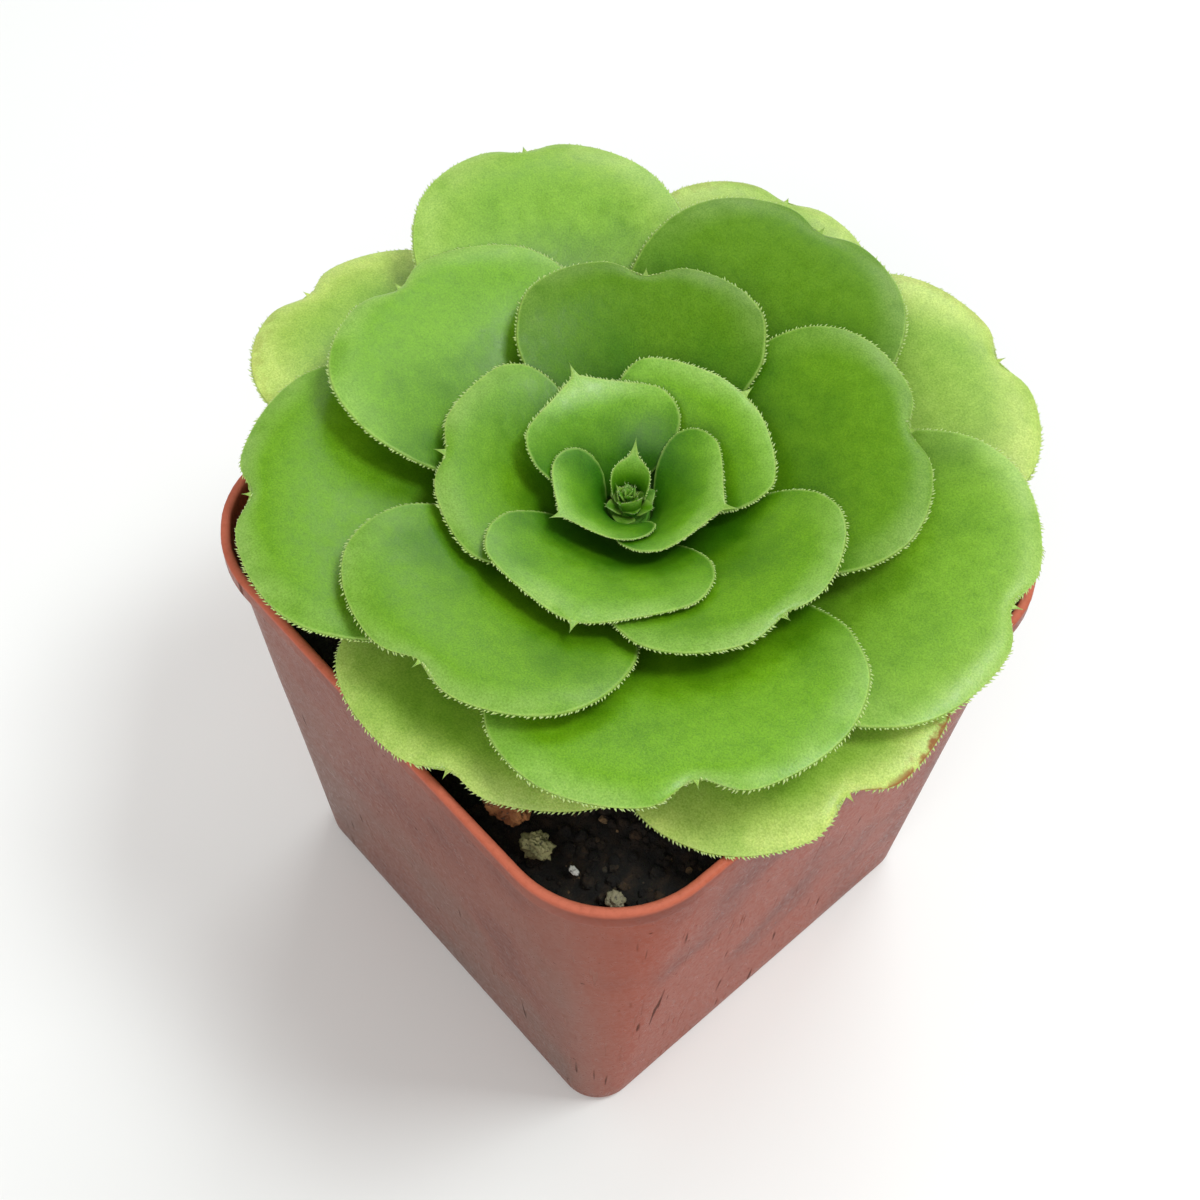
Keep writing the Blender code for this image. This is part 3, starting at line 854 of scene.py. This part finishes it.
class Leaf:
    """A fleshy leaf: two faces, a thin round margin with fine teeth, and a tip drawn out to a point."""

    def __init__(self, name, order, measures, rows, columns):
        turn, reach, rise, width, tilt = measures
        self.name = name
        self.order = order
        self.dice = random.Random(order + 50)
        self.rib = Midrib(order, reach * MM, rise * MM)
        self.width = width * MM
        self.tilt = tilt
        # Inner leaves are smaller in every detail and end in a point, and outer ones in a lobed notch.
        self.bigness = min(0.40 + max(order, 0) / 10.0, 1.0)
        self.notch = NOTCH_DEPTH * clamp((order - 3) / 5.0) * self.dice.uniform(0.65, 1.15)
        self.skew = self.dice.uniform(-3.0, 3.0) * MM
        self.pointed = clamp((8.0 - order) / 5.0) * clamp(order + 1)
        length = 0.50 + 0.45 * self.bigness + 0.75 * self.pointed
        self.mucro = MUCRO_LENGTH * length * self.dice.uniform(0.9, 1.1)
        self.beak = (1.0 + 0.9 * self.pointed) * (0.45 + 0.55 * self.bigness)
        # Rows crowd towards the blade's end, and a few more run out along the point. Columns crowd
        # towards the margins, at places across from -1 to 1.
        point = self.mucro / self.rib.length
        self.shares = [math.sin(math.pi / 2 * row / rows) for row in range(rows)]
        self.shares += [1.0 + point * row / MUCRO_ROWS for row in range(MUCRO_ROWS + 1)]
        self.evens = [2.0 * column / columns - 1.0 for column in range(columns + 1)]
        self.acrosses = [math.sin(math.pi / 2 * even) for even in self.evens]
        bearing = math.radians(FIRST_LEAF_ANGLE + GOLDEN_ANGLE * order + turn)
        self.turn = Matrix.Rotation(bearing, 3, "Z")
        self.thickness = LEAF_THICKNESS * min(0.30 + max(order, 0) / 12.0, 1.0)
        self.points, self.faces = [], []
        self.rims, self.alongs, self.sides = [], [], []
        face, rims, normal = self.upper_face()
        lower, edges = self.lower_face(face, normal)
        self.add_sheets(face, lower, rims)
        self.edge = self.add_margin(face, lower, edges)
        self.close_ends()
        self.add_teeth(normal)

    def half(self, share):
        """Half the blade's width, with the slender point that carries on past its blunt end."""
        base_width = stem_radius(self.order) * LEAF_BASE_SHARE
        blade = 0.0
        if share < 1.0:
            blade = leaf_half_width(share, self.order, self.width, base_width) * BLADE_FIT
        wave = noise.noise(Vector((share * 3.1, self.order * 7.3, 0.0)))
        scallop = noise.noise(Vector((share * 9.0, self.order * 3.3, 5.0)))
        blade *= 1.0 + 0.02 * wave + 0.012 * scallop
        near = clamp((share - 0.68) / 0.32)
        blade *= 1.0 - 0.48 * self.pointed * near * near * (3.0 - 2.0 * near)
        left = max((1.0 - share) * self.rib.length + self.mucro, 0.0) / self.mucro
        point = 0.30 * MM * self.beak * min(left, 3.5) ** 1.6
        return math.sqrt(blade**2 + (point * min(share, 1.0) ** 8) ** 2)

    def upper_face(self):
        """Upper points, the distance of each to the margin in millimetres, and the normals."""
        face = np.zeros((len(self.shares), len(self.acrosses), 3))
        rims = np.zeros(face.shape[:2])
        young = 1.0 if self.order > 4 else 0.35
        for row, share in enumerate(self.shares):
            half = self.half(share)
            before = self.half(max(share - 0.01, 0.0))
            lean = min((before - half) / (0.01 * self.rib.length), 8.0)
            outer = max(min(share, 1.0) - 0.35, 0.0) / 0.65
            past = max(share - 1.0, 0.0) * self.rib.length
            for column, across in enumerate(self.acrosses):
                side = half * across
                point = leaf_point(self.rib, share, side, self.tilt, self.notch, self.skew)
                rim = (half - abs(side)) / math.sqrt(1.0 + lean**2)
                spot = Vector((share * 2.3, across * 1.6, self.order * 3.7))
                swell = noise.noise(spot) * 0.10 * MM * min(share, 1.0)
                # The margin rolls down, and the blade just inside it stands a little proud.
                roll = (MARGIN_ROLL * math.exp(-rim / ROLL_REACH) - MARGIN_RISE) * outer * young
                point.z += swell - roll + 0.12 * past
                face[row, column] = point
                rims[row, column] = rim / MM
        normal = np.cross(np.gradient(face, axis=0), np.gradient(face, axis=1))
        normal = normal / np.maximum(np.linalg.norm(normal, axis=2, keepdims=True), 1e-14)
        normal[-1] = normal[-2]
        return face, rims, normal

    def lower_face(self, face, normal):
        """Lower points, fleshy at the midrib and thin at the margin, and the margin's thicknesses."""
        lower = np.zeros_like(face)
        edges = []
        for row, share in enumerate(self.shares):
            fleshy = min(self.half(share) / (2.2 * MM), 1.0) ** 0.6
            thin = (1.0 - EDGE_SHARE) * (1.0 - min(share, 1.0) ** 6)
            edges.append(EDGE_SHARE * self.thickness * fleshy)
            for column, across in enumerate(self.acrosses):
                depth = (EDGE_SHARE + thin * (1.0 - across**2)) * fleshy
                lower[row, column] = face[row, column] - normal[row, column] * depth * self.thickness
        return lower, edges

    def add_point(self, point, rim, along, side):
        self.points.append(point)
        self.rims.append(rim)
        self.alongs.append(min(along, 1.0))
        self.sides.append(side)

    def add_sheets(self, face, lower, rims):
        """The upper and the lower face, both wound to look outwards."""
        for sheet in (face, lower):
            for row, share in enumerate(self.shares):
                for column, even in enumerate(self.evens):
                    self.add_point(sheet[row, column], rims[row, column], share, even)
        count = len(self.evens)
        under = len(self.shares) * count
        for row in range(len(self.shares) - 1):
            for column in range(count - 1):
                here = row * count + column
                low = under + here
                self.faces.append((here, here + count, here + count + 1, here + 1))
                self.faces.append((low, low + 1, low + count + 1, low + count))

    def add_margin(self, face, lower, edges):
        """One more line of points down each side, a little outside, that rounds the margin."""
        count = len(self.evens)
        under = len(self.shares) * count
        sides = []
        for column, inner in ((0, 1), (count - 1, count - 2)):
            line = []
            for row, share in enumerate(self.shares):
                out = face[row, column] - face[row, inner]
                length = np.linalg.norm(out)
                if length > 1e-9:
                    out = out / length
                middle = (face[row, column] + lower[row, column]) / 2 + out * edges[row] * 0.35
                line.append((len(self.points), middle, out))
                self.add_point(middle, 0.0, share, -1.0 if column == 0 else 1.0)
            for row in range(len(line) - 1):
                top = row * count + column
                low = under + top
                here, after = line[row][0], line[row + 1][0]
                strips = [(top, here, after, top + count), (low, low + count, after, here)]
                self.faces += strips if column == 0 else [tuple(reversed(strip)) for strip in strips]
            sides.append(line)
        return sides

    def close_ends(self):
        """A cap across the leaf's base and another across the end of its point."""
        count = len(self.evens)
        under = len(self.shares) * count
        end = under - count
        left, right = [line[0][0] for line in self.edge]
        left_end, right_end = [line[-1][0] for line in self.edge]
        back = list(reversed(range(count)))
        self.faces.append((*range(count), right, *[under + column for column in back], left))
        last = [under + end + column for column in range(count)]
        self.faces.append((*last, right_end, *[end + column for column in back], left_end))

    def add_spike(self, root, direction, normal, length, radius, bend):
        """A small curved spike: a square base, a ring half way and a point."""
        direction = direction / max(np.linalg.norm(direction), 1e-12)
        across = np.cross(direction, normal)
        across = across / max(np.linalg.norm(across), 1e-12)
        lift = np.cross(across, direction)
        first = len(self.points)
        for share, size in ((-0.3, 1.0), (0.35, 0.62)):
            middle = root + direction * length * share + bend * length * max(share, 0.0) ** 2
            for corner in range(4):
                angle = math.pi / 2 * corner
                wide = across * math.cos(angle) * 1.25 + lift * math.sin(angle) * 0.8
                self.points.append(middle + wide * radius * size)
        self.points.append(root + direction * length + bend * length)
        for corner in range(4):
            after = (corner + 1) % 4
            self.faces.append((first + corner, first + 4 + corner, first + 4 + after, first + after))
            self.faces.append((first + 4 + corner, first + 8, first + 4 + after))
        self.faces.append((first, first + 1, first + 2, first + 3))
        # Depths past the margin, which the leaf skin reads: the base, the ring and the point
        self.rims += [0.0] * 4 + [-0.2] * 4 + [-0.4]
        self.alongs += [0.9] * 9
        self.sides += [0.0] * 9

    def add_teeth(self, normals):
        """Short stout teeth along both margins. They lean towards the tip, and no two are alike."""
        rows = len(self.shares) - 1
        grown = 0.35 + 0.65 * self.bigness
        for line in self.edge:
            travelled = 0.0
            wanted = TOOTH_SPACING * 2
            for row in range(int(rows * 0.10), rows - MUCRO_ROWS):
                _, here, out = line[row]
                _, after, out_after = line[row + 1]
                step = after - here
                length = np.linalg.norm(step)
                while length > 1e-9 and travelled + length > wanted:
                    share = (wanted - travelled) / length
                    forward = step / length
                    normal = normals[row, len(self.evens) // 2]
                    outward = np.cross(normal, forward)
                    if np.dot(outward, out * (1.0 - share) + out_after * share) < 0:
                        outward = -outward
                    swing = self.dice.uniform(0.15, 0.85)
                    rise = self.dice.uniform(-0.15, 0.30)
                    size = self.dice.uniform(0.45, 1.25) * grown * min(0.4 + row / rows, 1.0)
                    stout = TOOTH_RADIUS * grown * self.dice.uniform(0.8, 1.2)
                    lean = outward + forward * swing + normal * rise
                    root = here + step * share
                    self.add_spike(root, lean, normal, TOOTH_LENGTH * size, stout, forward * 0.2)
                    gap = self.dice.uniform(0.5, 1.5) * (0.5 + 0.5 * self.bigness)
                    wanted += TOOTH_SPACING * gap
                travelled += length

    def piece(self, material):
        placed = [PLANT + self.turn @ Vector(point) for point in self.points]
        measures = {"rim_mm": self.rims, "along": self.alongs, "side": self.sides}
        return add_piece(self.name, placed, self.faces, material, measures, turn_out=False)


def leaf_material(name, group, order):
    """Leaf skin by age: deeper green in the middle, fresh outside, faded on the oldest leaves."""
    young = math.exp(-max(order, 0) / 4.0)
    lush = LUSHNESS.get(order, 1.0)
    scorch = 0.15 if order >= SCORCH_START else 0.0
    values = {
        "Deep": (0.035 - 0.01 * young, 0.14, 0.001),
        "Fresh": ((0.15 - 0.015 * young) * lush, (0.36 - 0.01 * young) * lush, 0.005),
        # The pale distal glaze is partly a waxy bloom and partly a painted highlight.
        "Bloom_and_highlight": (0.30 * lush, 0.50 * lush, 0.11 * lush),
        "Fading": FADING.get(order, 0.0),
        "Scorch": 1.0 if order == SCORCHED_ORDER else scorch,
    }
    shader_values = {
        "Subsurface Weight": 0.22,
        "Subsurface Radius": (0.5, 1.0, 0.15),
        "Subsurface Scale": 1.2 * MM,
        "Specular IOR Level": 0.38 * lush**2,
    }
    return new_material(name, group, values, shader_values, 0.35, 0.12 * MM)


def make_leaves():
    skin = leaf_skin_group()
    make_bud_scales(leaf_material("bud_scales", skin, 0))
    for number, measures in enumerate(BUD_LEAVES):
        order = number - BUD_ORDERS
        node = f"bud_leaf_{number + 1}"
        leaf = Leaf(f"young_leaf_{number + 1}", order, measures, 20, 12)
        settle(leaf.piece(leaf_material(node, skin, order)), "leaf_skin", node)
    for order, measures in enumerate(LEAVES):
        node = f"leaf_{order + 1:02d}"
        size = 24 if order < 2 else 44
        leaf = Leaf(f"aeonium_leaf_{order + 1:02d}", order, measures, size, size - 8)
        slot = "old_leaf_skin" if order >= OLD_LEAF_START else "leaf_skin"
        settle(leaf.piece(leaf_material(node, skin, order)), slot, node)


def make_stones():
    face = stone_group()
    brown = (0.20, 0.065, 0.02), (0.38, 0.16, 0.055)
    khaki = (0.17, 0.17, 0.07), (0.36, 0.34, 0.16)
    sandy = (0.26, 0.23, 0.14), (0.42, 0.38, 0.26)
    white = (0.70, 0.69, 0.64), (0.85, 0.84, 0.80)
    kinds = (
        ("orange_pebble", "brown_pebble", "brown_stone", brown, 0.30, 4),
        ("khaki_chip", "khaki_pebble", "khaki_stone", khaki, 0.40, 9),
        ("khaki_grit", "small_stone", "khaki_stone", sandy, 0.25, 14),
        ("perlite_crumb", "perlite_grain", "perlite", white, 0.25, 21),
    )
    for name, node, slot, (colour, vein), roughness, seed in kinds:
        values = {"Face": colour, "Vein": vein, "Pit": tuple(part * 0.22 for part in colour)}
        material = new_material(name, face, values, {}, 0.6, 0.2 * MM)
        make_stone(name, node, slot, material, roughness, seed)


# Floor, light and camera. Angles in degrees: azimuth 0 looks along +Y, and elevation is over the floor.

FLOOR_HALF = 9.0
FLOOR_HEIGHT = -0.2 * MM
LAMP_TARGET = Vector((0.0, 0.0, 60.0 * MM))
# Name, azimuth, elevation, distance and size in metres, power in watts, colour
LAMPS = (
    ("window", 205.0, 42.0, 0.9, 0.50, 2.5, (0.97, 0.99, 1.0)),
    ("skylight", 137.0, 66.0, 0.9, 0.26, 4.0, (0.94, 1.0, 0.99)),
    ("fill", 30.0, 36.0, 1.1, 0.9, 5.5, (1.0, 0.98, 0.95)),
)
CAMERA_AZIMUTH = 46.57
CAMERA_ELEVATION = 56.46
CAMERA_ROLL = 2.06
CAMERA_PLACE = Vector((80.15, -79.65, 227.77)) * MM


def make_stage():
    material = bpy.data.materials.new("floor")
    material.use_nodes = True
    shader = material.node_tree.nodes["Principled BSDF"]
    shader.inputs["Base Color"].default_value = (0.86, 0.86, 0.86, 1.0)
    shader.inputs["Roughness"].default_value = 0.9
    ends = ((-1, -1), (1, -1), (1, 1), (-1, 1))
    corners = [(x * FLOOR_HALF, y * FLOOR_HALF, FLOOR_HEIGHT) for x, y in ends]
    add_piece("floor", corners, [(0, 1, 2, 3)], material)
    world = bpy.data.worlds.new("studio")
    bpy.context.scene.world = world
    world.use_nodes = True
    sky = world.node_tree.nodes["Background"]
    sky.inputs["Color"].default_value = (1.0, 1.0, 0.98, 1.0)
    sky.inputs["Strength"].default_value = 0.46


def add_lamp(name, azimuth, elevation, distance, size, power, colour):
    """A square soft light that looks at the plant, placed by the same angles as the camera."""
    lamp = bpy.data.lights.new(name, "AREA")
    lamp.size = size
    lamp.energy = power
    lamp.color = colour
    piece = bpy.data.objects.new(name, lamp)
    back = direction_back(azimuth, elevation)
    piece.location = LAMP_TARGET + back * distance
    piece.rotation_euler = back.to_track_quat("Z", "Y").to_euler()
    bpy.context.scene.collection.objects.link(piece)


def direction_back(azimuth, elevation):
    """The way from the plant to a lamp or a camera."""
    turn, lift = math.radians(azimuth), math.radians(elevation)
    flat = math.cos(lift)
    return Vector((math.sin(turn) * flat, -math.cos(turn) * flat, math.sin(lift)))


def make_camera():
    """A camera that looks down on the pot's near corner, rolled a little."""
    back = direction_back(CAMERA_AZIMUTH, CAMERA_ELEVATION)
    azimuth = math.radians(CAMERA_AZIMUTH)
    level = Vector((math.cos(azimuth), math.sin(azimuth), 0.0))
    upright = back.cross(level)
    roll = math.radians(CAMERA_ROLL)
    right = level * math.cos(roll) + upright * math.sin(roll)
    up = upright * math.cos(roll) - level * math.sin(roll)
    camera = bpy.data.cameras.new("camera")
    camera.lens = 54.0
    camera.sensor_width = 36.0
    camera.clip_start = 0.01
    piece = bpy.data.objects.new("camera", camera)
    place = Matrix((right, up, back)).transposed().to_4x4()
    place.translation = CAMERA_PLACE
    piece.matrix_world = place
    bpy.context.scene.collection.objects.link(piece)
    bpy.context.scene.camera = piece


def main():
    make_camera()
    make_stage()
    for lamp in LAMPS:
        add_lamp(*lamp)
    gloss = {"Specular IOR Level": 0.08}
    make_pot(new_material("pot_plastic", pot_plastic_group(), {}, gloss, 0.3, 0.4 * MM))
    earth = new_material("soil_crumbs", soil_group(), {}, {}, 0.9, 0.3 * MM)
    make_soil(earth)
    make_grains(earth)
    make_stem(new_material("stem_skin", bark_group(), {}, {}, 0.6, 0.3 * MM))
    make_stones()
    make_leaves()
    bpy.context.scene.view_settings.view_transform = "Standard"


main()
